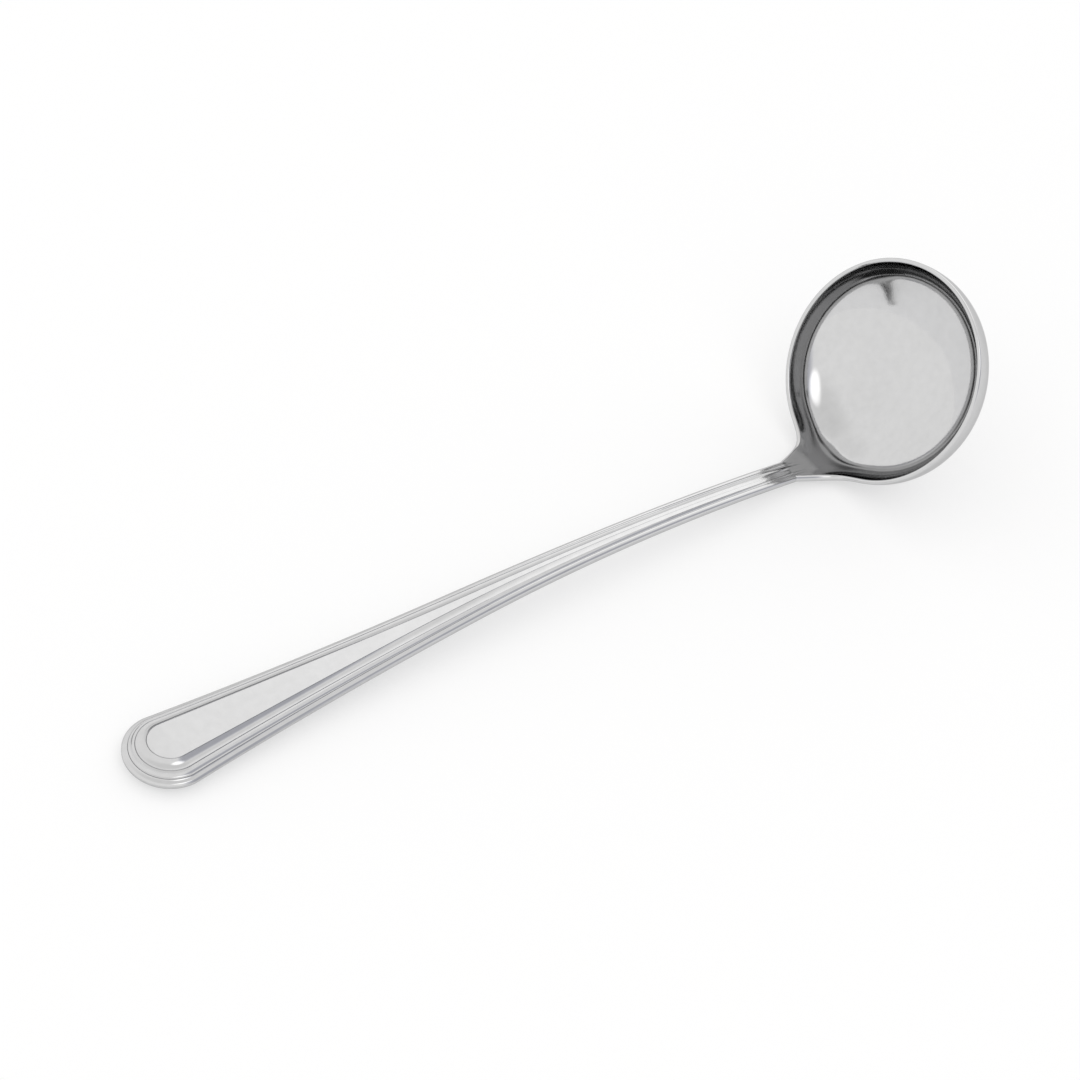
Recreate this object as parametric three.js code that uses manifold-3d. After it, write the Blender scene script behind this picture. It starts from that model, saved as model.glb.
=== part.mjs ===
// Salad dressing ladle: a drawn steel bowl welded to a hollow handle that is made of two pressed shells.
// Millimetres. It lies on a table at z = 0, with +X from the end of the handle to the bowl and +Z up.
// The left and right halves are alike about the plane y = 0.

import * as THREE from 'three';
import { mergeVertices } from 'three/addons/utils/BufferGeometryUtils.js';
import Module from 'manifold-3d';

// Bowl
const BOWL_DIAMETER = 60;
const BOWL_DEPTH = 16.5;
const BOWL_WALL = 1.2;
const BOWL_FULLNESS = 2.4; // exponent of the side profile, where 2 is an ellipse and more is squarer
const REST_FLAT_DEPTH = 0.2; // height that is ground off the outside where the bowl lies on the table

// Shoulder, where the wall of the bowl rises into the neck
const SHOULDER_REACH = 4.05; // neck joint outside the rim
const SHOULDER_RISE = 9.45; // neck joint above the rim plane
const SHOULDER_HALF_ANGLE = 28.6; // degrees on the rim, from the handle's plane to where the rim starts to rise
const SHOULDER_RIM_PULL = 6.7; // length over which an edge leaves the rim along its circle
const SHOULDER_NECK_INWARD = 4.85; // way in which an edge leaves the neck: towards the middle of the bowl,
const SHOULDER_NECK_SPREAD = 4.1; // out to its side
const SHOULDER_NECK_DROP = 11.1; // and down towards the rim plane
const SHOULDER_FADE = 0.8; // share of the side profile over which the shoulder melts into the wall
const SHOULDER_SOFTNESS = 3; // exponent with which it melts in
const RIDGE_FADE = 0.15; // share over which the ridges of the neck run out on it
const BOWL_ANGLE = 64.8; // degrees between the neck and the rim plane

// Handle, measured along its seam from the round end to the neck joint
const HANDLE_LENGTH = 207.5;
const STRAIGHT_LENGTH = 98.8;
const ARCH_RADIUS = 607;
const END_WIDTH = 23.15;
const NECK_WIDTH = 7.2;
const WIDTH_FADE = 2.62; // exponent of the taper from the round end to the neck
const FRONT_HEIGHT_END = 3.68;
const FRONT_HEIGHT_NECK = 0.9;
const BACK_DEPTH_END = 2.8;
const BACK_DEPTH_NECK = 1.8;
const BACK_FLAT_SHARE = 0.45; // flat band on the back, as a share of the handle's width
const SHELL_SHEET = 0.6;

// Raised panel on the front, which narrows to a ridge
const PANEL_WIDTH = 11.6;
const PANEL_LENGTH = 86.3; // from the centre of the round end to where its straight edges reach the ridge
const RIDGE_WIDTH = 1.1;
const PANEL_BLEND = 0.92; // how softly the panel's edges turn into the ridge

// Steps beside the panel, at the round end and at the neck: half widths, then depths below the panel
const CREASE_HALF_END = 8.26;
const CREASE_HALF_NECK = 1.35;
const BEAD_HALF_END = 10.35;
const BEAD_HALF_NECK = 2.6;
const TIER_SHARE_END = 0.38; // outer edge of the tier between the crease and the bead
const TIER_SHARE_NECK = 0.3;
const FOOT_SHARE_END = 0.83; // foot of the second slope between the crease and the bead
const FOOT_SHARE_NECK = 0.6;
const CREASE_DEPTH_END = 1.3;
const CREASE_DEPTH_NECK = 0.33;
const TIER_DEPTH_END = 1.46;
const TIER_DEPTH_NECK = 0.05;
const FOOT_DEPTH_END = 2.45;
const FOOT_DEPTH_NECK = 0.25;
const BEAD_DEPTH_END = 2.78;
const BEAD_DEPTH_NECK = 0;
const CREASE_FADE = 2.9; // exponent with which the crease and the tier shrink towards the neck
const STEP_FADE = 1.28; // exponent with which the foot and the bead do
const SIDE_ROUND_OUT = 0.7; // rounding below the bead: a point at these shares of the way to the seam
const SIDE_ROUND_DOWN = 0.35;

// Welds and tang
const SEAM_WELD_WIDTH = 0.4;
const NECK_WELD_WIDTH = 0.6;
const TANG_LENGTH = 24;
const TANG_WIDTH = 2.6;
const TANG_ROOT = 1.5; // how deep the tang runs into the neck stub
const TANG_CLEARANCE = 0.3;

// Number of steps in the faceted surfaces
const SIDE_STEPS = 28;
const END_STEPS = 13;
const RIM_STEPS = 27;
const FLARE_STEPS = 8;
const PROFILE_STEPS = 12;
const TANG_STEPS = 4;
const BACK_CURVE_STEPS = 5;
const EDGE_STEPS = 4; // over the edge of the bowl, and down the side of the neck from the bead to the back
const PITCH_ROUNDS = 50;
const SAME_POINT = 1e-5; // points closer than this are one point

const STEEL = { color: 0xd9dadc, metalness: 1, roughness: 0.12 };
const WELD_STEEL = { color: 0xd0d1d3, metalness: 1, roughness: 0.2 };

const END_CENTRE = END_WIDTH / 2;
const NECK_END = HANDLE_LENGTH - NECK_WELD_WIDTH;
const HALF_SEAM = SEAM_WELD_WIDTH / 2;
const RIM_RADIUS = BOWL_DIAMETER / 2;

const lerp = THREE.MathUtils.lerp;

// Share of the way back from the neck joint (0) to the centre of the round end (1).
function towardsEnd(station) {
  return THREE.MathUtils.clamp((HANDLE_LENGTH - station) / (HANDLE_LENGTH - END_CENTRE), 0, 1);
}

// A point of the handle: its station along the seam, its distance from the middle plane and its height
// above the seam. The seam is straight at first and then arches down to the neck.
function onHandle(station, across, height) {
  const turn = Math.max(station - STRAIGHT_LENGTH, 0) / ARCH_RADIUS;
  const x = Math.min(station, STRAIGHT_LENGTH) + ARCH_RADIUS * Math.sin(turn);
  const z = -ARCH_RADIUS * (1 - Math.cos(turn));
  return new THREE.Vector3(x + height * Math.sin(turn), across, z + height * Math.cos(turn));
}

// Outside of the front half section, from the middle to the seam, as [half width, height above the seam].
function frontOutside(station) {
  const share = towardsEnd(station);
  const taper = share ** WIDTH_FADE;
  const step = share ** STEP_FADE;
  const dent = share ** CREASE_FADE;
  const half = lerp(NECK_WIDTH, END_WIDTH, taper) / 2;
  const top = lerp(FRONT_HEIGHT_NECK, FRONT_HEIGHT_END, share);
  const ridge = RIDGE_WIDTH / 2;
  const slope = (PANEL_WIDTH / 2 - ridge) / PANEL_LENGTH;
  const wedge = PANEL_WIDTH / 2 - ridge - slope * (station - END_CENTRE);
  const panel = ridge + PANEL_BLEND * Math.log1p(Math.exp(wedge / PANEL_BLEND));
  const crease = lerp(CREASE_HALF_NECK, CREASE_HALF_END, taper);
  const bead = lerp(BEAD_HALF_NECK, BEAD_HALF_END, taper);
  const tier = lerp(crease, bead, lerp(TIER_SHARE_NECK, TIER_SHARE_END, share));
  const foot = lerp(crease, bead, lerp(FOOT_SHARE_NECK, FOOT_SHARE_END, share));
  const beadHeight = top - lerp(BEAD_DEPTH_NECK, BEAD_DEPTH_END, step);
  return [
    [0, top],
    [panel, top],
    [crease, top - lerp(CREASE_DEPTH_NECK, CREASE_DEPTH_END, dent)],
    [tier, top - lerp(TIER_DEPTH_NECK, TIER_DEPTH_END, dent)],
    [foot, top - lerp(FOOT_DEPTH_NECK, FOOT_DEPTH_END, step)],
    [bead, beadHeight],
    [lerp(bead, half, SIDE_ROUND_OUT), lerp(beadHeight, HALF_SEAM, SIDE_ROUND_DOWN)],
    [half, HALF_SEAM],
  ];
}

// Inside of the front shell: one sheet in from the outside, and never below the seam.
function frontInside(station) {
  const outside = frontOutside(station);
  const half = outside[outside.length - 1][0];
  return outside.map(([across, height]) => [
    across * (half - SHELL_SHEET) / half,
    Math.max(height - SHELL_SHEET, HALF_SEAM),
  ]);
}

// Back half section from the seam to the middle: a quarter of an ellipse that runs into a flat band.
function backSection(station, inset) {
  const share = towardsEnd(station);
  const outer = lerp(NECK_WIDTH, END_WIDTH, share ** WIDTH_FADE) / 2;
  const half = outer - inset;
  const depth = lerp(BACK_DEPTH_NECK, BACK_DEPTH_END, share) - inset;
  const flat = outer * BACK_FLAT_SHARE;
  const section = [];
  for (let step = 0; step <= BACK_CURVE_STEPS; step += 1) {
    const angle = (step / BACK_CURVE_STEPS) * (Math.PI / 2);
    const across = flat + (half - flat) * Math.cos(angle);
    section.push([across, -HALF_SEAM - (depth - HALF_SEAM) * Math.sin(angle)]);
  }
  section.push([0, -depth]);
  return section;
}

const backOutside = (station) => backSection(station, 0);
const backInside = (station) => backSection(station, SHELL_SHEET);

// The stations round the handle: along the right side to the round end, round it and back on the left.
// A heading of a quarter turn points straight to the left side.
function handleColumns() {
  const columns = [];
  const side = [];
  for (let step = 0; step <= SIDE_STEPS; step += 1) {
    side.push(lerp(NECK_END, END_CENTRE, step / SIDE_STEPS));
  }
  for (const station of side) {
    columns.push({ station, heading: -Math.PI / 2 });
  }
  for (let step = 1; step < END_STEPS; step += 1) {
    columns.push({ station: END_CENTRE, heading: -Math.PI / 2 - (Math.PI * step) / END_STEPS });
  }
  for (const station of side.reverse()) {
    columns.push({ station, heading: -1.5 * Math.PI });
  }
  return columns;
}

// The points of one half section at one of those stations.
function placeSection({ station, heading }, section) {
  return section.map(([across, height]) => {
    return onHandle(station + across * Math.cos(heading), across * Math.sin(heading), height);
  });
}

// A body under construction: corner points and triangles, without the ones that have no area.
class Body {
  constructor() {
    this.points = [];
    this.triangles = [];
  }

  add(point) {
    this.points.push(point);
    return this.points.length - 1;
  }

  triangle(a, b, c) {
    const [first, second, third] = [this.points[a], this.points[b], this.points[c]];
    const sides = [first.distanceTo(second), second.distanceTo(third), third.distanceTo(first)];
    if (Math.min(...sides) > SAME_POINT) {
      this.triangles.push([a, b, c]);
    }
  }

  quad(a, b, c, d) {
    this.triangle(a, b, c);
    this.triangle(a, c, d);
  }

  // Covers the space between the columns of a grid of point numbers.
  sheet(grid, closed = false) {
    const last = closed ? grid.length : grid.length - 1;
    for (let column = 0; column < last; column += 1) {
      const here = grid[column];
      const next = grid[(column + 1) % grid.length];
      for (let row = 0; row + 1 < here.length; row += 1) {
        this.quad(here[row], next[row], next[row + 1], here[row + 1]);
      }
    }
  }

  // A bar with four corners in each ring, closed at both ends.
  bar(rings) {
    this.sheet(rings.map((ring) => [...ring, ring[0]]));
    const [first, last] = [rings[0], rings[rings.length - 1]];
    this.quad(...first);
    this.quad(...[...last].reverse());
    return this;
  }

  volume() {
    return this.triangles.reduce((sum, [a, b, c]) => {
      const cross = new THREE.Vector3().crossVectors(this.points[b], this.points[c]);
      return sum + this.points[a].dot(cross) / 6;
    }, 0);
  }

  // Turns the faces outwards.
  faceOut() {
    if (this.volume() < 0) {
      this.triangles = this.triangles.map(([a, b, c]) => [a, c, b]);
    }
    return this;
  }
}

// A pressed shell between an outside and an inside half section, along the whole handle.
function pressedShell(outside, inside) {
  const body = new Body();
  const rings = handleColumns().map((column) => {
    const outer = placeSection(column, outside(column.station));
    const inner = placeSection(column, inside(column.station)).reverse();
    return [...outer, ...inner].map((point) => body.add(point));
  });
  const rows = rings[0].length / 2;
  body.sheet(rings.map((ring) => ring.slice(0, rows)));
  body.sheet(rings.map((ring) => ring.slice(rows)));
  const edgeAtEnd = outside(END_CENTRE)[0][0] === 0;
  body.sheet(rings.map((ring) => (edgeAtEnd ? [ring[rows - 1], ring[rows]] : [ring[2 * rows - 1], ring[0]])));
  closeMouth(body, rings[0], rows, true);
  closeMouth(body, rings[rings.length - 1], rows, false);
  return body.faceOut();
}

// Closes the half section at the mouth of a shell between its outside and its inside.
function closeMouth(body, ring, rows, first) {
  for (let row = 0; row + 1 < rows; row += 1) {
    const [a, b] = [ring[row], ring[row + 1]];
    const [c, d] = [ring[2 * rows - 2 - row], ring[2 * rows - 1 - row]];
    if (first) {
      body.quad(a, b, c, d);
    } else {
      body.quad(d, c, b, a);
    }
  }
}

// The weld along both sides and round the end, flush with the two shells that it joins.
function seamWeld() {
  const body = new Body();
  const rings = handleColumns().map((column) => {
    const half = frontOutside(column.station).at(-1)[0];
    const section = [
      [half, HALF_SEAM],
      [half - SHELL_SHEET, HALF_SEAM],
      [half - SHELL_SHEET, -HALF_SEAM],
      [half, -HALF_SEAM],
    ];
    return placeSection(column, section).map((point) => body.add(point));
  });
  return body.bar(rings).faceOut();
}

// The whole outline of a section, once round, from its two half sections.
function loopSection(front, back) {
  const left = [...front].reverse();
  const right = front.slice(1).map(([across, height]) => [-across, height]);
  const under = back.map(([across, height]) => [-across, height]);
  const backLeft = [...back].reverse().slice(1);
  return [...left, ...right, ...under, ...backLeft];
}

// The weld round the neck, between the mouth of the handle and the neck stub of the bowl.
function neckWeld() {
  const body = new Body();
  const outer = loopSection(frontOutside(NECK_END), backOutside(NECK_END));
  const inner = loopSection(frontInside(NECK_END), backInside(NECK_END));
  const stub = loopSection(frontOutside(HANDLE_LENGTH), backOutside(HANDLE_LENGTH));
  const stubHole = loopSection(frontInside(HANDLE_LENGTH), backInside(HANDLE_LENGTH));
  const place = (station) => ([across, height]) => body.add(onHandle(station, across, height));
  const loops = [
    outer.map(place(NECK_END)),
    stub.map(place(HANDLE_LENGTH)),
    stubHole.map(place(HANDLE_LENGTH)),
    inner.map(place(NECK_END)),
  ];
  const columns = outer.map((_, index) => [...loops.map((loop) => loop[index]), loops[0][index]]);
  body.sheet(columns, true);
  return body.faceOut();
}

// Where the bowl sits: its rim plane leans towards the handle and meets the neck at the bowl angle.
function bowlFrame() {
  const turn = (HANDLE_LENGTH - STRAIGHT_LENGTH) / ARCH_RADIUS;
  const lean = THREE.MathUtils.degToRad(BOWL_ANGLE) - turn;
  const away = new THREE.Vector3(Math.cos(lean), 0, Math.sin(lean));
  const open = new THREE.Vector3(-Math.sin(lean), 0, Math.cos(lean));
  const joint = onHandle(HANDLE_LENGTH, 0, FRONT_HEIGHT_NECK);
  const centre = joint.clone()
    .addScaledVector(away, RIM_RADIUS + SHOULDER_REACH)
    .addScaledVector(open, -SHOULDER_RISE);
  return { away, open, centre };
}

// The columns of the bowl's edge, once round: each is a row of points from the inside over the edge to
// the outside, in bowl coordinates: towards the handle, to the left, and up out of the rim plane. The
// crown of a column is its inside point without the ridges of the neck.
function bowlEdges() {
  const { away, open, centre } = bowlFrame();
  const toBowl = (point) => {
    const offset = point.clone().sub(centre);
    return new THREE.Vector3(-offset.dot(away), offset.y, offset.dot(open));
  };
  const start = THREE.MathUtils.degToRad(SHOULDER_HALF_ANGLE);
  const lip = BOWL_WALL / 2;
  const shares = Array.from({ length: EDGE_STEPS + 1 }, (_, row) => row / EDGE_STEPS);
  const rimEdge = (angle) => shares.map((share) => {
    const round = lerp(Math.PI, 0, share);
    const radius = RIM_RADIUS - lip + lip * Math.cos(round);
    const height = -lip + lip * Math.sin(round);
    return new THREE.Vector3(radius * Math.cos(angle), radius * Math.sin(angle), height);
  });

  const front = frontOutside(HANDLE_LENGTH);
  const back = backOutside(HANDLE_LENGTH).slice(1);
  const bead = front.length - 3;
  const neckPoint = ([across, height]) => toBowl(onHandle(HANDLE_LENGTH, across, height));
  const sideEdge = [front[bead], front[bead + 1], front[bead + 2], backOutside(HANDLE_LENGTH)[0], back[0]];
  const neckSide = sideEdge.map(neckPoint);

  const plainColumn = (row) => ({ row, crown: row[0] });
  const half = [];
  for (let step = 0; step < RIM_STEPS; step += 1) {
    half.push(plainColumn(rimEdge(lerp(Math.PI, start, step / RIM_STEPS))));
  }
  const leave = new THREE.Vector3(-SHOULDER_NECK_INWARD, SHOULDER_NECK_SPREAD, -SHOULDER_NECK_DROP);
  const aside = new THREE.Vector3(Math.sin(start), -Math.cos(start), 0);
  const sweeps = rimEdge(start).map((point, row) => new THREE.CubicBezierCurve3(
    point,
    point.clone().addScaledVector(aside, SHOULDER_RIM_PULL),
    neckSide[row].clone().add(leave),
    neckSide[row],
  ));
  for (let step = 0; step <= FLARE_STEPS; step += 1) {
    half.push(plainColumn(sweeps.map((curve) => curve.getPoint(step / FLARE_STEPS))));
  }
  for (let row = bead - 1; row >= 0; row -= 1) {
    const top = neckPoint(front[row]);
    const bottom = neckPoint(back[bead - row]);
    const crown = neckPoint([front[row][0], FRONT_HEIGHT_NECK]);
    half.push({ row: shares.map((share) => top.clone().lerp(bottom, share)), crown });
  }
  const flip = (point) => new THREE.Vector3(point.x, -point.y, point.z);
  const mirror = ({ row, crown }) => ({ row: row.map(flip), crown: flip(crown) });
  return [...half, ...half.slice(1, -1).reverse().map(mirror)];
}

// One profile of the bowl from an edge point to the middle: the side curve of the cup, to which the
// shoulder adds what the crown stands out of the rim. The ridges on the crown run out first.
function bowlProfile(edge, crown, radius, depth) {
  const reach = Math.hypot(crown.x, crown.y);
  const rimLevel = -BOWL_WALL / 2;
  const ridges = edge.clone().sub(crown);
  const points = [];
  for (let step = 1; step <= PROFILE_STEPS; step += 1) {
    const share = step / PROFILE_STEPS;
    const size = ((1 - share) ** BOWL_FULLNESS + share ** BOWL_FULLNESS) ** (1 / BOWL_FULLNESS);
    const inwards = (1 - share) / size;
    const fade = Math.max(1 - share / SHOULDER_FADE, 0) ** SHOULDER_SOFTNESS;
    const distance = radius * inwards + (reach - radius) * fade;
    const height = rimLevel - (depth * share) / size + (crown.z - rimLevel) * fade;
    const point = new THREE.Vector3((crown.x / reach) * distance, (crown.y / reach) * distance, height);
    points.push(point.addScaledVector(ridges, Math.max(1 - share / RIDGE_FADE, 0)));
  }
  return points;
}

// The cup, its shoulder and the neck stub, as one grid from the outside of the bottom to the inside.
function bowlCup() {
  const { away, open, centre } = bowlFrame();
  const place = (point) => centre.clone()
    .addScaledVector(away, -point.x)
    .addScaledVector(new THREE.Vector3(0, 1, 0), point.y)
    .addScaledVector(open, point.z);
  const body = new Body();
  const outsideDepth = BOWL_DEPTH - BOWL_WALL / 2;
  const grid = bowlEdges().map(({ row, crown }) => {
    const outer = row[row.length - 1];
    const outside = bowlProfile(outer, outer, RIM_RADIUS, outsideDepth);
    const inside = bowlProfile(row[0], crown, RIM_RADIUS - BOWL_WALL, outsideDepth - BOWL_WALL);
    const column = [...outside.reverse(), ...row.slice().reverse(), ...inside];
    return column.map((point) => body.add(place(point)));
  });
  body.sheet(grid, true);
  return body.faceOut();
}

// The tang, which follows the handle's arch between the two shells with room to spare.
function tangBar() {
  const body = new Body();
  const ceiling = HALF_SEAM - TANG_CLEARANCE;
  const floor = -(BACK_DEPTH_NECK - SHELL_SHEET - TANG_CLEARANCE);
  const half = TANG_WIDTH / 2;
  const section = [[half, ceiling], [-half, ceiling], [-half, floor], [half, floor]];
  const rings = [];
  for (let step = 0; step <= TANG_STEPS; step += 1) {
    const station = lerp(HANDLE_LENGTH - TANG_LENGTH, HANDLE_LENGTH + TANG_ROOT, step / TANG_STEPS);
    rings.push(section.map(([across, height]) => body.add(onHandle(station, across, height))));
  }
  return body.bar(rings).faceOut();
}

const wasm = await Module();
wasm.setup();

function toGeometry(body, placing = new THREE.Matrix4()) {
  const geometry = new THREE.BufferGeometry();
  const positions = body.points.flatMap((point) => point.clone().applyMatrix4(placing).toArray());
  geometry.setAttribute('position', new THREE.Float32BufferAttribute(positions, 3));
  geometry.setIndex(body.triangles.flat());
  return mergeVertices(geometry, SAME_POINT);
}

function toSolid(body) {
  const geometry = toGeometry(body);
  return new wasm.Manifold(new wasm.Mesh({
    numProp: 3,
    vertProperties: geometry.attributes.position.array,
    triVerts: new Uint32Array(geometry.index.array),
  }));
}

function fromSolid(solid) {
  const mesh = solid.getMesh();
  const body = new Body();
  for (let start = 0; start < mesh.vertProperties.length; start += mesh.numProp) {
    body.add(new THREE.Vector3().fromArray(mesh.vertProperties, start));
  }
  for (let start = 0; start < mesh.triVerts.length; start += 3) {
    body.triangles.push([...mesh.triVerts.slice(start, start + 3)]);
  }
  return body;
}

// The bowl with its tang, joined into one body.
function bowlWithTang() {
  return fromSolid(toSolid(bowlCup()).add(toSolid(tangBar())));
}

// The placing in which the bowl and the end of the handle both touch the table, found by halving the
// range of pitches, with the origin under the middle of the ladle. The bowl sinks in by its rest flat.
function restOnTable(bowlPoints, handlePoints) {
  const lowest = (points, pitch) => points.reduce(
    (least, point) => Math.min(least, point.x * Math.sin(pitch) + point.z * Math.cos(pitch)),
    Infinity,
  );
  let low = -Math.PI / 4;
  let high = Math.PI / 4;
  for (let round = 0; round < PITCH_ROUNDS; round += 1) {
    const middle = (low + high) / 2;
    if (lowest(bowlPoints, middle) + REST_FLAT_DEPTH < lowest(handlePoints, middle)) {
      low = middle;
    } else {
      high = middle;
    }
  }
  const turned = new THREE.Matrix4().makeRotationY(-low);
  const box = new THREE.Box3();
  for (const point of [...bowlPoints, ...handlePoints]) {
    box.expandByPoint(point.clone().applyMatrix4(turned));
  }
  const middle = box.getCenter(new THREE.Vector3());
  const table = box.min.z + REST_FLAT_DEPTH;
  return new THREE.Matrix4().makeTranslation(-middle.x, 0, -table).multiply(turned);
}

// The bowl without what would be below the table.
function withRestFlat(bowl, placing) {
  const lift = placing.clone().invert();
  const below = new Body();
  const section = [[1, 0], [-1, 0], [-1, -1], [1, -1]];
  const rings = [0, 2].map((ahead) => section.map(([aside, up]) => {
    const corner = new THREE.Vector3(ahead, aside, up).multiplyScalar(BOWL_DIAMETER);
    return below.add(corner.applyMatrix4(lift));
  }));
  return fromSolid(toSolid(bowl).subtract(toSolid(below.bar(rings).faceOut())));
}

const bowl = bowlWithTang();
const frontShell = pressedShell(frontOutside, frontInside);
const backShell = pressedShell(backOutside, backInside);
const placing = restOnTable(bowl.points, [...frontShell.points, ...backShell.points]);

const ladle = new THREE.Group();

function addPiece(name, body, finish) {
  const mesh = new THREE.Mesh(toGeometry(body, placing), new THREE.MeshStandardMaterial(finish));
  mesh.name = name;
  ladle.add(mesh);
}

addPiece('bowl', withRestFlat(bowl, placing), STEEL);
addPiece('handle_front_shell', frontShell, STEEL);
addPiece('handle_back_shell', backShell, STEEL);
addPiece('seam_weld', seamWeld(), WELD_STEEL);
addPiece('neck_weld', neckWeld(), WELD_STEEL);

export default ladle;
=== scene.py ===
"""Salad dressing ladle in polished stainless steel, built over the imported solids.

The pieces repeat the sizes of the solids at a finer grain, with rounded edges on every step. They are
worked out in millimetres along the handle, laid on the table like the solids and written in metres.
"""

import math

import bmesh
import bpy
import numpy as np
from mathutils import Matrix, Vector


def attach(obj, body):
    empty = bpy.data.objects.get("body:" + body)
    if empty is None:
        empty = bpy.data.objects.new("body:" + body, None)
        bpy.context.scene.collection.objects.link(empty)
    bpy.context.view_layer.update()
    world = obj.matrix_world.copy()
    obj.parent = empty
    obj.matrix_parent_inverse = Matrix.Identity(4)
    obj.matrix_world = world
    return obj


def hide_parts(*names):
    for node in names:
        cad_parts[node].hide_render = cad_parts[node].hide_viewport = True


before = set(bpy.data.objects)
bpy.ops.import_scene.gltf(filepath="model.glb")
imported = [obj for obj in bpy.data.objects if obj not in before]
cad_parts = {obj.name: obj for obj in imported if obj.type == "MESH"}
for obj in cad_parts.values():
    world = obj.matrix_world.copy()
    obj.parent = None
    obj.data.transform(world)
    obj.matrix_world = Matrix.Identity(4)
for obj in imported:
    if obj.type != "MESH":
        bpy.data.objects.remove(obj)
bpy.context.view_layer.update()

MM = 0.001

# Bowl
BOWL_DIAMETER = 60.0
BOWL_DEPTH = 16.5
BOWL_WALL = 1.2
BOWL_FULLNESS = 2.4
BOWL_ANGLE = 64.8
REST_FLAT_DEPTH = 0.2

# Shoulder between the bowl and the neck
SHOULDER_REACH = 4.05
SHOULDER_RISE = 9.45
SHOULDER_HALF_ANGLE = 28.6
SHOULDER_RIM_PULL = 6.7
SHOULDER_NECK_LEAVE = (-4.85, 4.1, -11.1)
SHOULDER_FADE = 0.8
SHOULDER_SOFTNESS = 3.0
RIDGE_FADE = 0.15
BEND_SPREAD = 4.5
BEND_FADE = 0.3

# Handle. Pairs are values at the round end and at the neck.
HANDLE_LENGTH = 207.5
STRAIGHT_LENGTH = 98.8
ARCH_RADIUS = 607.0
HANDLE_WIDTH = (23.15, 7.2)
WIDTH_FADE = 2.62
FRONT_HEIGHT = (3.68, 0.9)
BACK_DEPTH = (2.8, 1.8)
BACK_FLAT_SHARE = 0.45
BACK_FLAT_HOLD = 0.9
SHELL_SHEET = 0.6

# Raised panel and the steps beside it
PANEL_WIDTH = 11.6
PANEL_LENGTH = 86.3
RIDGE_WIDTH = 1.1
PANEL_BLEND = 0.92
CREASE_HALF = (8.26, 1.35)
BEAD_HALF = (10.35, 2.6)
TIER_SHARE = (0.38, 0.3)
FOOT_SHARE = (0.83, 0.6)
CREASE_DEPTH = (1.3, 0.2)
TIER_DEPTH = (1.46, 0.05)
FOOT_DEPTH = (2.45, 0.18)
BEAD_DEPTH = (2.78, 0.0)
CREASE_FADE = 2.9
STEP_FADE = 1.28
SIDE_ROUND_OUT = 0.7
SIDE_ROUND_DOWN = 0.35

# Welds and tang
SEAM_WELD_WIDTH = 0.4
NECK_WELD_WIDTH = 0.6
TANG_LENGTH = 24.0
TANG_WIDTH = 2.6
TANG_CLEARANCE = 0.3

# The slopes are hollow at the round end, steep below the upper edge and level at the lower one, and
# nearly straight at the neck
COVE_BEND = (2.3, 1.15)
COVE_CROWD = 1.3
COVE_STEPS = 10

# Fine grooves along the panel, the crease and the bead. They take a share of a face at most, and up to a
# station along the handle their steel is darker in colour: painted shade in the creases.
GROOVE_WIDTH = (0.24, 0.06)
GROOVE_DEPTH = (0.1, 0.01)
GROOVE_LIMIT = 0.4
SHADED_GROOVE_REACH = 105.0

# How much of the bead's and the side's corners is rounded off, and where points hold the faces beside them
BEAD_CORNER, SIDE_CORNER = 5, 6
CORNER_CUTS = {BEAD_CORNER: 0.4, SIDE_CORNER: 9.0}
CUT_LIMIT = 0.47
HOLD_BEFORE = 0.12
HOLD_AFTER = 0.06

# Grain of the surfaces
CORNER_STEPS = 6
BACK_STEPS = 16
SIDE_STEPS = 130
END_STEPS = 48
RIM_STEPS = 120
FLARE_STEPS = 36
EDGE_STEPS = 12
PROFILE_STEPS = 60
NECK_STEPS = 48
NECK_SOFT = 3
NECK_SIDE_POINTS = 3
TANG_STEPS = 12
BEND_GRID = 0.25

# Search for the resting tilt, joining of points in metres and sharp edges in degrees
REST_STEPS = 50
SAME_POINT = 2e-7
SHARP_ANGLE = 25
RIM_SHARP_ANGLE = 40

END_CENTRE = HANDLE_WIDTH[0] / 2
NECK_END = HANDLE_LENGTH - NECK_WELD_WIDTH
HALF_SEAM = SEAM_WELD_WIDTH / 2
RIM_RADIUS = BOWL_DIAMETER / 2


def lerp(a, b, share):
    return a + (b - a) * share


def between(pair, share):
    return lerp(pair[1], pair[0], share)


def towards_end(station):
    return min(max((HANDLE_LENGTH - station) / (HANDLE_LENGTH - END_CENTRE), 0.0), 1.0)


def on_handle(station, across, height):
    """The point at a station along the seam, a way out from the middle and a height above the seam."""
    turn = max(station - STRAIGHT_LENGTH, 0.0) / ARCH_RADIUS
    x = min(station, STRAIGHT_LENGTH) + ARCH_RADIUS * math.sin(turn)
    z = -ARCH_RADIUS * (1 - math.cos(turn))
    return np.array([x + height * math.sin(turn), across, z + height * math.cos(turn)])


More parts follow.
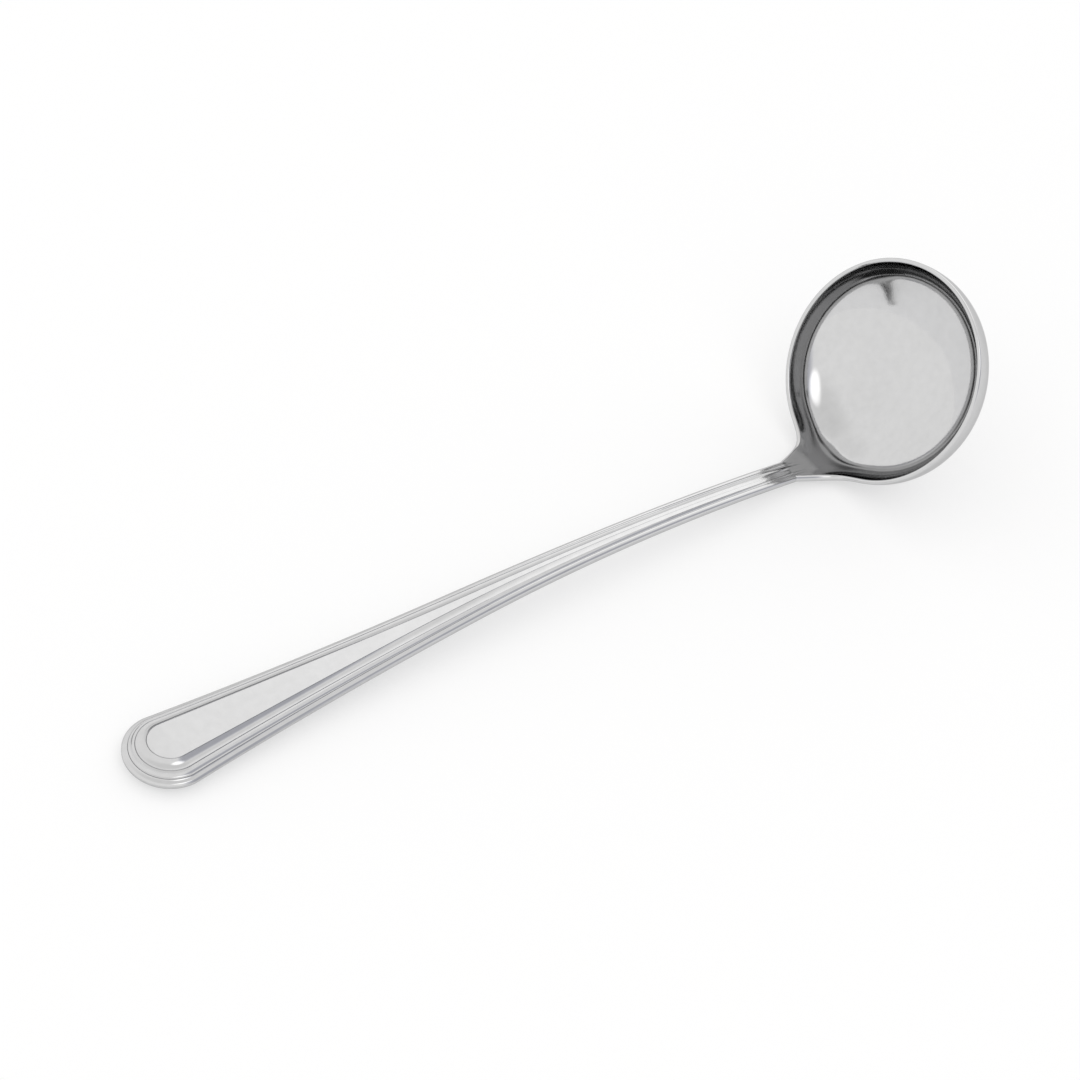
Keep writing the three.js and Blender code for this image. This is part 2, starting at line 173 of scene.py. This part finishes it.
def front_corners(station):
    share = towards_end(station)
    taper = share**WIDTH_FADE
    step = share**STEP_FADE
    dent = share**CREASE_FADE
    half = between(HANDLE_WIDTH, taper) / 2
    top = between(FRONT_HEIGHT, share)
    ridge = RIDGE_WIDTH / 2
    slope = (PANEL_WIDTH / 2 - ridge) / PANEL_LENGTH
    wedge = PANEL_WIDTH / 2 - ridge - slope * (station - END_CENTRE)
    panel = ridge + PANEL_BLEND * math.log1p(math.exp(wedge / PANEL_BLEND))
    crease = between(CREASE_HALF, taper)
    bead = between(BEAD_HALF, taper)
    tier = lerp(crease, bead, between(TIER_SHARE, share))
    foot = lerp(crease, bead, between(FOOT_SHARE, share))
    bead_height = top - between(BEAD_DEPTH, step)
    return np.array(
        [
            (0.0, top),
            (panel, top),
            (crease, top - between(CREASE_DEPTH, dent)),
            (tier, top - between(TIER_DEPTH, dent)),
            (foot, top - between(FOOT_DEPTH, step)),
            (bead, bead_height),
            (lerp(bead, half, SIDE_ROUND_OUT), lerp(bead_height, HALF_SEAM, SIDE_ROUND_DOWN)),
            (half, HALF_SEAM),
        ]
    )


def cove(upper, lower, bend):
    """Points of a hollow slope from one corner down to the next."""
    share = np.linspace(0, 1, COVE_STEPS + 1)[:, None] ** COVE_CROWD
    across = lerp(upper[0], lower[0], share)
    height = lerp(upper[1], lower[1], 1 - (1 - share) ** bend)
    return list(np.hstack([across, height]))


def groove(start, towards, share):
    """Bottom and end of a fine groove that begins at a point."""
    way = towards - start
    length = np.linalg.norm(way)
    width = min(between(GROOVE_WIDTH, share), GROOVE_LIMIT * length) / length
    return [start + way * width / 2 - (0.0, between(GROOVE_DEPTH, share)), start + way * width]


def front_outside(station):
    """Panel, hollow slope, tier, hollow slope, and a rounded bead and side, with grooves between them."""
    corners = front_corners(station)
    share = towards_end(station)
    middle, panel, crease, tier, foot, bead = corners[: BEAD_CORNER + 1]
    bend = between(COVE_BEND, share)
    border, bottom = groove(panel, middle, share)[::-1]
    points = [middle, border, bottom, *cove(panel, crease, bend), *groove(crease, tier, share)]
    points += [*cove(tier, foot, bend), *groove(foot, bead, share)]
    for place, wish in CORNER_CUTS.items():
        before, corner, after = corners[place - 1 : place + 2]
        back, ahead = before - corner, after - corner
        back_length, ahead_length = np.linalg.norm(back), np.linalg.norm(ahead)
        cut = min(wish, CUT_LIMIT * back_length, CUT_LIMIT * ahead_length)
        start = corner + back / back_length * cut
        end = corner + ahead / ahead_length * cut
        points.append(lerp(start, points[-1], HOLD_BEFORE))
        for turn in np.linspace(0, 1, CORNER_STEPS):
            points.append((1 - turn) ** 2 * start + 2 * turn * (1 - turn) * corner + turn**2 * end)
        points.append(lerp(end, after, HOLD_AFTER))
    points.append(corners[-1])
    return np.array(points)


# Rows of faces in the front's section that lie in a groove, where the steel with painted shade goes
GROOVE_ROWS = (1, 2, COVE_STEPS + 3, COVE_STEPS + 4, 2 * COVE_STEPS + 6, 2 * COVE_STEPS + 7)


def front_inside(station):
    outside = front_outside(station)
    half = outside[-1][0]
    across = outside[:, 0] * (half - SHELL_SHEET) / half
    return np.stack([across, np.maximum(outside[:, 1] - SHELL_SHEET, HALF_SEAM)], 1)


def back_section(station, inset):
    """From the seam to the middle: a quarter of an ellipse that runs into a flat band."""
    share = towards_end(station)
    outer = between(HANDLE_WIDTH, share**WIDTH_FADE) / 2
    depth = between(BACK_DEPTH, share) - inset
    flat = outer * BACK_FLAT_SHARE
    angles = np.linspace(0, math.pi / 2, BACK_STEPS + 1)
    across = flat + (outer - inset - flat) * np.cos(angles)
    height = -HALF_SEAM - (depth - HALF_SEAM) * np.sin(angles)
    curve = np.stack([across, height], 1)
    return np.vstack([curve, [(flat * BACK_FLAT_HOLD, -depth), (0.0, -depth)]])


def back_outside(station):
    return back_section(station, 0.0)


def back_inside(station):
    return back_section(station, SHELL_SHEET)


def handle_columns():
    """Stations and headings: along the right side to the round end, round it and back on the left."""
    side = np.linspace(NECK_END, END_CENTRE, SIDE_STEPS + 1)
    turns = np.arange(1, END_STEPS) / END_STEPS
    right = [(station, -math.pi / 2) for station in side]
    end = [(END_CENTRE, -math.pi / 2 - math.pi * turn) for turn in turns]
    left = [(station, -1.5 * math.pi) for station in side[::-1]]
    return right + end + left


def place_section(column, section):
    station, heading = column
    run, spread = math.cos(heading), math.sin(heading)
    return [on_handle(station + across * run, across * spread, height) for across, height in section]


def bowl_frame():
    """The bowl's directions away from the handle and out of its opening, and the middle of its rim."""
    turn = (HANDLE_LENGTH - STRAIGHT_LENGTH) / ARCH_RADIUS
    lean = math.radians(BOWL_ANGLE) - turn
    away = np.array([math.cos(lean), 0, math.sin(lean)])
    opening = np.array([-math.sin(lean), 0, math.cos(lean)])
    joint = on_handle(HANDLE_LENGTH, 0, FRONT_HEIGHT[1])
    return away, opening, joint + away * (RIM_RADIUS + SHOULDER_REACH) - opening * SHOULDER_RISE


AWAY, OPENING, RIM_CENTRE = bowl_frame()


def to_bowl(point):
    offset = point - RIM_CENTRE
    return np.array([-offset @ AWAY, offset[1], offset @ OPENING])


def from_bowl(points):
    sideways = points[:, 1:2] * np.array([0, 1, 0])
    return RIM_CENTRE - points[:, :1] * AWAY + sideways + points[:, 2:] * OPENING


def resample(points, count):
    """The same line with evenly spaced points."""
    run = np.r_[0, np.cumsum(np.linalg.norm(np.diff(points, axis=0), axis=1))]
    stops = np.linspace(0, run[-1], count)
    return np.stack([np.interp(stops, run, points[:, axis]) for axis in range(points.shape[1])], 1)


def rim_edge(angle):
    """Points over the rounded rim from the inside to the outside."""
    lip = BOWL_WALL / 2
    around = np.linspace(math.pi, 0, EDGE_STEPS + 1)
    radius = RIM_RADIUS - lip + lip * np.cos(around)
    return np.stack([radius * math.cos(angle), radius * math.sin(angle), -lip + lip * np.sin(around)], 1)


def bowl_edges():
    """The bowl's edge, once round, as rows of points from the inside over the edge to the outside.

    With each row comes its crown, which is its inside point without the ridges of the neck.
    """
    start = math.radians(SHOULDER_HALF_ANGLE)
    front = front_outside(HANDLE_LENGTH)
    back = back_outside(HANDLE_LENGTH)
    corner = front_corners(HANDLE_LENGTH)[BEAD_CORNER]
    bead = int(np.argmin(np.linalg.norm(front - corner, axis=1)))
    side = resample(np.vstack([front[bead:], back[: NECK_SIDE_POINTS + 1]]), EDGE_STEPS + 1)

    def neck(point):
        return to_bowl(on_handle(HANDLE_LENGTH, point[0], point[1]))

    neck_side = np.array([neck(point) for point in side])
    rows = [rim_edge(angle) for angle in np.linspace(math.pi, start, RIM_STEPS + 1)[:-1]]
    first = rim_edge(start)
    second = first + np.array([math.sin(start), -math.cos(start), 0]) * SHOULDER_RIM_PULL
    third = neck_side + np.array(SHOULDER_NECK_LEAVE)
    for share in np.linspace(0, 1, FLARE_STEPS + 1):
        rest = 1 - share
        near_rim = rest**3 * first + 3 * share * rest**2 * second
        rows.append(near_rim + 3 * share**2 * rest * third + share**3 * neck_side)
    half = [(row, row[0]) for row in rows]
    shares = np.linspace(0, 1, EDGE_STEPS + 1)[:, None]
    tops = resample(front[: bead + 1], NECK_STEPS + 1)[::-1][1:]
    window = 2 * NECK_SOFT + 1
    tops[:, 1] = np.convolve(np.pad(tops[:, 1], NECK_SOFT, mode="edge"), np.ones(window), "valid") / window
    bottoms = resample(back[NECK_SIDE_POINTS:], NECK_STEPS + 1)[1:]
    for top, bottom in zip(tops, bottoms):
        half.append((lerp(neck(top), neck(bottom), shares), neck((top[0], FRONT_HEIGHT[1]))))
    flip = np.array([1, -1, 1])
    return half + [(row * flip, crown * flip) for row, crown in half[1:-1][::-1]]


def softened(angles, values):
    """The values once round the bowl without sharp bends, for the angles in order."""
    order = np.argsort(angles)
    grid = np.radians(np.arange(-180, 180, BEND_GRID))
    even = np.interp(grid, angles[order], values[order], period=2 * math.pi)
    gap = np.minimum(np.arange(len(grid)), len(grid) - np.arange(len(grid))) * BEND_GRID
    window = np.exp(-0.5 * (gap / BEND_SPREAD) ** 2)
    soft = np.fft.irfft(np.fft.rfft(even) * np.fft.rfft(window / window.sum()), len(grid))
    return np.interp(angles, grid, soft, period=2 * math.pi)


def bowl_profiles(edges, crowns, radius, depth):
    """From each edge point to the middle: the side curve of the cup, with the shoulder melting in."""
    level = -BOWL_WALL / 2
    share = np.arange(1, PROFILE_STEPS + 1) / PROFILE_STEPS
    size = ((1 - share) ** BOWL_FULLNESS + share**BOWL_FULLNESS) ** (1 / BOWL_FULLNESS)
    inward = (1 - share) / size
    fade = np.maximum(1 - share / SHOULDER_FADE, 0) ** SHOULDER_SOFTNESS
    ridges = np.maximum(1 - share / RIDGE_FADE, 0)[:, None]
    blend = np.minimum(share / BEND_FADE, 1)
    angles = np.arctan2(crowns[:, 1], crowns[:, 0])
    sharp = np.stack([np.hypot(crowns[:, 0], crowns[:, 1]) - radius, crowns[:, 2] - level], 1)
    soft = np.stack([softened(angles, sharp[:, 0]), softened(angles, sharp[:, 1])], 1)
    profiles = []
    for edge, crown, angle, hard, mild in zip(edges, crowns, angles, sharp, soft):
        distance = radius * inward + lerp(hard[0], mild[0], blend) * fade
        height = level - depth * share / size + lerp(hard[1], mild[1], blend) * fade
        points = np.stack([math.cos(angle) * distance, math.sin(angle) * distance, height], 1)
        profiles.append(points + ridges * (edge - crown))
    return profiles


class Shape:
    """A closed surface under construction: points, the faces between them and which faces are grooves."""

    def __init__(self):
        self.points = []
        self.faces = []
        self.grooves = []

    def add(self, points):
        first = len(self.points)
        self.points.extend(points)
        return list(range(first, len(self.points)))

    def sheet(self, columns, closed=False, groove_rows=()):
        """Covers the space between columns of point numbers."""
        following = columns[1:] + columns[:1] if closed else columns[1:]
        for here, there in zip(columns, following):
            for row in range(len(here) - 1):
                if row in groove_rows:
                    self.grooves.append(len(self.faces))
                self.faces.append((here[row], there[row], there[row + 1], here[row + 1]))


def pressed_shell(outside, inside, edge_last):
    """A shell between an outside and an inside half section, closed at the seam and at its mouth.

    The front's sections end at the seam and have grooves, and the back's begin at the seam.
    """
    shape = Shape()
    columns = handle_columns()
    outer, inner = [], []
    for column in columns:
        outer.append(shape.add(place_section(column, outside(column[0]))))
        inner.append(shape.add(place_section(column, inside(column[0]))))
    # Only columns up to the reach along the handle give their grooves the darker steel, which is painted
    # shade
    plain = sum(column[0] > SHADED_GROOVE_REACH for column in columns) // 2
    shape.sheet(outer[: plain + 1])
    shape.sheet(outer[plain:-plain], groove_rows=GROOVE_ROWS if edge_last else ())
    shape.sheet(outer[-plain - 1 :])
    shape.sheet([column[::-1] for column in inner])
    seam = -1 if edge_last else 0
    shape.sheet([[column[seam], under[seam]] for column, under in zip(outer, inner)])
    for column, under in ((outer[0], inner[0]), (outer[-1], inner[-1])):
        shape.sheet([[one, two] for one, two in zip(column, under)])
    return shape


def bowl_cup():
    shape = Shape()
    depth = BOWL_DEPTH - BOWL_WALL / 2
    rows, crowns = zip(*bowl_edges())
    outer_edge = np.array([row[-1] for row in rows])
    inner_edge = np.array([row[0] for row in rows])
    outsides = bowl_profiles(outer_edge, outer_edge, RIM_RADIUS, depth)
    insides = bowl_profiles(inner_edge, np.array(crowns), RIM_RADIUS - BOWL_WALL, depth - BOWL_WALL)
    columns = []
    for row, outside, inside in zip(rows, outsides, insides):
        columns.append(shape.add(from_bowl(np.vstack([outside[::-1], row[::-1], inside]))))
    shape.sheet(columns, closed=True)
    return shape


def bar(rings):
    """A bar through rings of points, closed at both ends."""
    shape = Shape()
    columns = [shape.add(ring) for ring in rings]
    shape.sheet([column + column[:1] for column in columns])
    shape.faces.append(tuple(columns[0]))
    shape.faces.append(tuple(columns[-1][::-1]))
    return shape


def seam_weld():
    rings = []
    for column in handle_columns():
        half = between(HANDLE_WIDTH, towards_end(column[0]) ** WIDTH_FADE) / 2
        inner = half - SHELL_SHEET
        section = [(half, HALF_SEAM), (inner, HALF_SEAM), (inner, -HALF_SEAM), (half, -HALF_SEAM)]
        rings.append(place_section(column, section))
    return bar(rings)


def tang():
    ceiling = HALF_SEAM - TANG_CLEARANCE
    floor = -(BACK_DEPTH[1] - SHELL_SHEET - TANG_CLEARANCE)
    half = TANG_WIDTH / 2
    section = [(half, ceiling), (-half, ceiling), (-half, floor), (half, floor)]
    stations = np.linspace(HANDLE_LENGTH - TANG_LENGTH, HANDLE_LENGTH, TANG_STEPS + 1)
    return bar([[on_handle(station, *corner) for corner in section] for station in stations])


def whole_outline(front, back):
    """The outline of a section, once round, from its two halves."""
    flip = np.array([-1, 1])
    return np.vstack([front[::-1], front[1:] * flip, back * flip, back[::-1][1:]])


def neck_weld():
    shape = Shape()
    outlines = [
        (NECK_END, whole_outline(front_outside(NECK_END), back_outside(NECK_END))),
        (HANDLE_LENGTH, whole_outline(front_outside(HANDLE_LENGTH), back_outside(HANDLE_LENGTH))),
        (HANDLE_LENGTH, whole_outline(front_inside(HANDLE_LENGTH), back_inside(HANDLE_LENGTH))),
        (NECK_END, whole_outline(front_inside(NECK_END), back_inside(NECK_END))),
    ]
    loops = [shape.add([on_handle(station, *point) for point in outline]) for station, outline in outlines]
    shape.sheet([list(column) + [column[0]] for column in zip(*loops)], closed=True)
    return shape


def rest_on_table(bowl_points, handle_points):
    """The turn and the shift that lay the end of the handle and the bowl's rest flat on the table."""

    def lowest(points, pitch):
        return (points[:, 0] * math.sin(pitch) + points[:, 2] * math.cos(pitch)).min()

    low, high = -math.pi / 4, math.pi / 4
    for _ in range(REST_STEPS):
        middle = (low + high) / 2
        if lowest(bowl_points, middle) + REST_FLAT_DEPTH < lowest(handle_points, middle):
            low = middle
        else:
            high = middle
    cosine, sine = math.cos(low), math.sin(low)
    turn = np.array([[cosine, 0, -sine], [0, 1, 0], [sine, 0, cosine]])
    points = np.vstack([bowl_points, handle_points]) @ turn.T
    lo, hi = points.min(0), points.max(0)
    return turn, np.array([-(lo[0] + hi[0]) / 2, 0, -lo[2] - REST_FLAT_DEPTH])


cup = bowl_cup()
front_shell = pressed_shell(front_outside, front_inside, edge_last=True)
back_shell = pressed_shell(back_outside, back_inside, edge_last=False)
TURN, SHIFT = rest_on_table(np.array(cup.points), np.array(front_shell.points + back_shell.points))


def on_table(points):
    """Lays points on the table, in metres, and flattens the bowl where it rests."""
    placed = np.asarray(points) @ TURN.T + SHIFT
    placed[:, 2] = np.maximum(placed[:, 2], 0.0)
    return placed * MM


def make_piece(name, shape, node, materials, sharp=SHARP_ANGLE):
    """A piece in place of a solid. Its second material, if it has one, is for the grooves: a darker steel
    that paints shade into them.
    """
    mesh = bpy.data.meshes.new(name)
    mesh.from_pydata(on_table(shape.points).tolist(), [], shape.faces)
    for face in shape.grooves:
        mesh.polygons[face].material_index = 1
    work = bmesh.new()
    work.from_mesh(mesh)
    bmesh.ops.remove_doubles(work, verts=work.verts, dist=SAME_POINT)
    bmesh.ops.recalc_face_normals(work, faces=work.faces)
    work.to_mesh(mesh)
    work.free()
    mesh.shade_smooth()
    mesh.set_sharp_from_angle(angle=math.radians(sharp))
    for material in materials:
        mesh.materials.append(material)
    piece = bpy.data.objects.new(name, mesh)
    bpy.context.scene.collection.objects.link(piece)
    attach(piece, "root")
    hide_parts(node)


class Nodes:
    """A short way to write a node tree."""

    def __init__(self, tree):
        self.tree = tree
        tree.nodes.clear()

    def add(self, kind, inputs=None, **settings):
        node = self.tree.nodes.new(kind)
        for key, value in settings.items():
            setattr(node, key, value)
        for key, value in (inputs or {}).items():
            socket = node.inputs[key]
            if isinstance(value, bpy.types.NodeSocket):
                self.tree.links.new(value, socket)
            else:
                socket.default_value = value
        return node

    def noise(self, vector, scale, detail, roughness):
        inputs = {"Vector": vector, "Scale": scale, "Detail": detail, "Roughness": roughness}
        return self.add("ShaderNodeTexNoise", inputs).outputs["Fac"]

    def stretch(self, value, low, high, out_low, out_high, kind="LINEAR"):
        inputs = {"Value": value, 1: low, 2: high, 3: out_low, 4: out_high}
        return self.add("ShaderNodeMapRange", inputs, interpolation_type=kind).outputs["Result"]

    def math(self, operation, one, two=0.0):
        return self.add("ShaderNodeMath", {0: one, 1: two}, operation=operation).outputs[0]

    def weighted(self, one, weight_one, two, weight_two):
        parts = self.math("MULTIPLY", one, weight_one), self.math("MULTIPLY", two, weight_two)
        return self.math("ADD", *parts)


# Steel. A pattern is the scale, detail and roughness of a noise.
MARKS = (2600.0, 4.0, 0.6)
SMEARS = (55.0, 4.0, 0.55)
CLOUDS = (420.0, 3.0, 0.5)
NOISE_RANGE = (0.35, 0.65)
TONE_RANGE = (0.965, 1.03)
LENGTHWAYS = (0.06, 1.0, 1.0)
ROUND_SCALE = 0.012
RING_SCALE = 1.6
SMEAR_GLOSS, MARK_GLOSS = 0.65, 0.35
MARK_RELIEF, CLOUD_RELIEF = 0.25, 0.6
BUMP_STRENGTH = 0.06
BUMP_DISTANCE = 0.0002
EDGE_TINT = (0.72, 0.72, 0.72, 1.0)


def steel(name, tone, roughness, spread, turned=None, grain=1.0):
    """Polished stainless steel: fine polishing marks, faint smears and a slightly uneven surface.

    The marks run along the handle, or round an axis if turned gives its middle and direction.
    """
    material = bpy.data.materials.new(name)
    material.use_nodes = True
    nodes = Nodes(material.node_tree)
    place = nodes.add("ShaderNodeTexCoord").outputs["Object"]
    if turned:
        middle, axis = turned
        spin = Vector(axis).to_track_quat("Z", "Y").to_matrix().to_4x4()
        inverse = (Matrix.Translation(Vector(middle)) @ spin).inverted()
        moved = nodes.add(
            "ShaderNodeMapping",
            {"Vector": place, "Location": inverse.to_translation(), "Rotation": inverse.to_euler()},
        ).outputs[0]
        split = nodes.add("ShaderNodeSeparateXYZ", {0: moved})
        x, y, z = split.outputs
        ring = nodes.math("SQRT", nodes.weighted(x, x, y, y))
        around = nodes.math("ARCTAN2", y, x)
        lines = nodes.add(
            "ShaderNodeCombineXYZ",
            {
                "X": nodes.math("MULTIPLY", around, ROUND_SCALE),
                "Y": nodes.math("MULTIPLY", ring, RING_SCALE),
                "Z": nodes.math("MULTIPLY", z, RING_SCALE),
            },
        ).outputs[0]
    else:
        lines = nodes.add("ShaderNodeMapping", {"Vector": place, "Scale": LENGTHWAYS}).outputs[0]
    marks = nodes.noise(lines, *MARKS)
    smears = nodes.noise(place, *SMEARS)
    clouds = nodes.noise(place, *CLOUDS)
    uneven = nodes.weighted(smears, SMEAR_GLOSS, marks, MARK_GLOSS)
    gloss = nodes.stretch(uneven, *NOISE_RANGE, roughness - spread, roughness + spread)
    patches = nodes.weighted(clouds, 0.5, smears, 0.5)
    darker, paler = ((*[value * share for value in tone], 1.0) for share in TONE_RANGE)
    tint = nodes.add(
        "ShaderNodeMix",
        {"Factor": nodes.stretch(patches, *NOISE_RANGE, 0.0, 1.0), 6: darker, 7: paler},
        data_type="RGBA",
    ).outputs[2]
    relief = nodes.weighted(marks, MARK_RELIEF * grain, clouds, CLOUD_RELIEF * grain)
    bump = nodes.add(
        "ShaderNodeBump", {"Strength": BUMP_STRENGTH, "Distance": BUMP_DISTANCE, "Height": relief}
    ).outputs[0]
    surface = nodes.add(
        "ShaderNodeBsdfPrincipled",
        {
            "Base Color": tint,
            "Metallic": 1.0,
            "Roughness": gloss,
            "Specular Tint": EDGE_TINT,
            "Normal": bump,
        },
    )
    nodes.add("ShaderNodeOutputMaterial", {"Surface": surface.outputs[0]})
    return material


BOWL_MIDDLE = on_table([RIM_CENTRE])[0]
BOWL_AXIS = TURN @ OPENING
STEEL_TONE = (0.612, 0.612, 0.616)
WELD_TONE = (0.58, 0.58, 0.584)
# The grooves' colour is darker than the steel's: painted shade in the creases
GROOVE_SHADE_TONE = (0.4, 0.4, 0.41)
COARSE = 1.6

# Roughness and how much it varies
BOWL_GLOSS = (0.08, 0.03)
HANDLE_GLOSS = (0.1, 0.035)
GROOVE_GLOSS = (0.3, 0.08)
WELD_GLOSS = (0.17, 0.05)

bowl_steel = steel("bowl_steel", STEEL_TONE, *BOWL_GLOSS, turned=(BOWL_MIDDLE, BOWL_AXIS))
handle_steel = steel("handle_steel", STEEL_TONE, *HANDLE_GLOSS)
# Darker, rougher steel for the grooves; the darker colour is painted shade
groove_shade_steel = steel("groove_shade_steel", GROOVE_SHADE_TONE, *GROOVE_GLOSS, grain=COARSE)
weld_steel = steel("weld_steel", WELD_TONE, *WELD_GLOSS, grain=COARSE)

make_piece("bowl_cup", cup, "bowl", [bowl_steel], sharp=RIM_SHARP_ANGLE)
make_piece("bowl_tang", tang(), "bowl", [bowl_steel])
# The front shell's grooves take the darker steel with painted shade
make_piece("front_shell", front_shell, "handle_front_shell", [handle_steel, groove_shade_steel])
make_piece("back_shell", back_shell, "handle_back_shell", [handle_steel])
make_piece("seam_weld_bead", seam_weld(), "seam_weld", [weld_steel])
make_piece("neck_weld_bead", neck_weld(), "neck_weld", [weld_steel])


def direction(azimuth, elevation):
    """An azimuth from the ladle's right side round to its bowl, and an elevation above the table."""
    a, e = math.radians(azimuth), math.radians(elevation)
    return Vector((math.sin(a) * math.cos(e), -math.cos(a) * math.cos(e), math.sin(e)))


# Studio: a pale room without lamps. A zone is an azimuth, an elevation, the angles from there within which
# it is full and outside which it is gone, and its level. What the steel mirrors a second time is darker.
ROOM = 1.06
ZONES = (
    (0, 90, 10, 40, 0.85),
    (34, 30, 12, 34, 0.58),
    (2, 60, 8, 18, 1.8),
    (112, 38, 12, 33, 1.32),
    (155, 8, 8, 20, 0.84),
)
DARK_SIDE = (-66, 32, 12, 32, 0.04)
DARK_ROOM = 0.8
BLUE_SIDE = (34, 30, 12, 36, 0.0)
BLUE_TINT = (0.92, 0.93, 1.0, 1.0)
WARM_TINT = (1.0, 0.997, 0.99, 1.0)

world = bpy.data.worlds.new("studio")
bpy.context.scene.world = world
world.use_nodes = True
nodes = Nodes(world.node_tree)
sight = nodes.add("ShaderNodeTexCoord").outputs["Generated"]


def zone(azimuth, elevation, inner, outer, level):
    """A factor that is level within an angle of a direction and fades to 1 outside it."""
    towards = {0: sight, 1: direction(azimuth, elevation)}
    near = nodes.add("ShaderNodeVectorMath", towards, operation="DOT_PRODUCT").outputs["Value"]
    low, high = math.cos(math.radians(outer)), math.cos(math.radians(inner))
    return nodes.stretch(near, low, high, 1.0, level, "SMOOTHSTEP")


glow = ROOM
for place in ZONES:
    glow = nodes.math("MULTIPLY", zone(*place), glow)
tints = {0: zone(*BLUE_SIDE), 6: BLUE_TINT, 7: WARM_TINT}
tint = nodes.add("ShaderNodeMix", tints, data_type="RGBA").outputs[2]
seen = nodes.add("ShaderNodeLightPath")
again = nodes.stretch(seen.outputs["Glossy Depth"], 1.0, 2.0, 0.0, 1.0)
inner = nodes.math("MULTIPLY", nodes.math("MULTIPLY", zone(*DARK_SIDE), DARK_ROOM), glow)
glow = nodes.add("ShaderNodeMix", {0: again, 2: glow, 3: inner}).outputs[0]
glow = nodes.math("MAXIMUM", glow, seen.outputs["Is Camera Ray"])
room = nodes.add("ShaderNodeBackground", {"Color": tint, "Strength": glow}).outputs[0]
nodes.add("ShaderNodeOutputWorld", {"Surface": room})

# The floor glows to white for the camera and the steel, and keeps the shadow
FLOOR_TONE = 0.5
FLOOR_GLOW = 0.475
FLOOR_REACH = 4.0
FLOOR_DROP = 0.0002
floor_material = bpy.data.materials.new("floor_paper")
floor_material.use_nodes = True
nodes = Nodes(floor_material.node_tree)
seen = nodes.add("ShaderNodeLightPath")
plain = nodes.math("MAXIMUM", seen.outputs["Is Camera Ray"], seen.outputs["Is Glossy Ray"])
plain = nodes.math("MAXIMUM", plain, seen.outputs["Is Transmission Ray"])
paper = nodes.add("ShaderNodeBsdfDiffuse", {"Color": (*[FLOOR_TONE] * 3, 1.0)}).outputs[0]
white = nodes.add("ShaderNodeEmission", {"Strength": nodes.math("MULTIPLY", plain, FLOOR_GLOW)}).outputs[0]
both = nodes.add("ShaderNodeAddShader", {0: paper, 1: white}).outputs[0]
nodes.add("ShaderNodeOutputMaterial", {"Surface": both})
floor_mesh = bpy.data.meshes.new("floor")
corners = [(x * FLOOR_REACH, y * FLOOR_REACH, 0) for x, y in ((-1, -1), (1, -1), (1, 1), (-1, 1))]
floor_mesh.from_pydata(corners, [], [(0, 1, 2, 3)])
floor_mesh.materials.append(floor_material)
floor = bpy.data.objects.new("floor", floor_mesh)
floor.location.z = -FLOOR_DROP
bpy.context.scene.collection.objects.link(floor)

# Camera at the photograph's angle, rolled like it
CAMERA_PLACE = Vector((-0.54086, -0.52863, 0.75402))
CAMERA_AZIMUTH = -45.808
CAMERA_ELEVATION = 44.092
CAMERA_ROLL = 11.681
CAMERA_LENS = 140.0
CAMERA_SENSOR = 36.0
CAMERA_SHIFT = (-0.02812, -0.01012)

camera_data = bpy.data.cameras.new("camera")
camera_data.lens = CAMERA_LENS
camera_data.sensor_width = CAMERA_SENSOR
camera_data.shift_x, camera_data.shift_y = CAMERA_SHIFT
camera = bpy.data.objects.new("camera", camera_data)
aim = direction(CAMERA_AZIMUTH, CAMERA_ELEVATION).to_track_quat("Z", "Y").to_matrix().to_4x4()
roll = Matrix.Rotation(math.radians(CAMERA_ROLL), 4, "Z")
camera.matrix_world = Matrix.Translation(CAMERA_PLACE) @ aim @ roll
bpy.context.scene.collection.objects.link(camera)
bpy.context.scene.camera = camera

bpy.context.scene.view_settings.view_transform = "Standard"
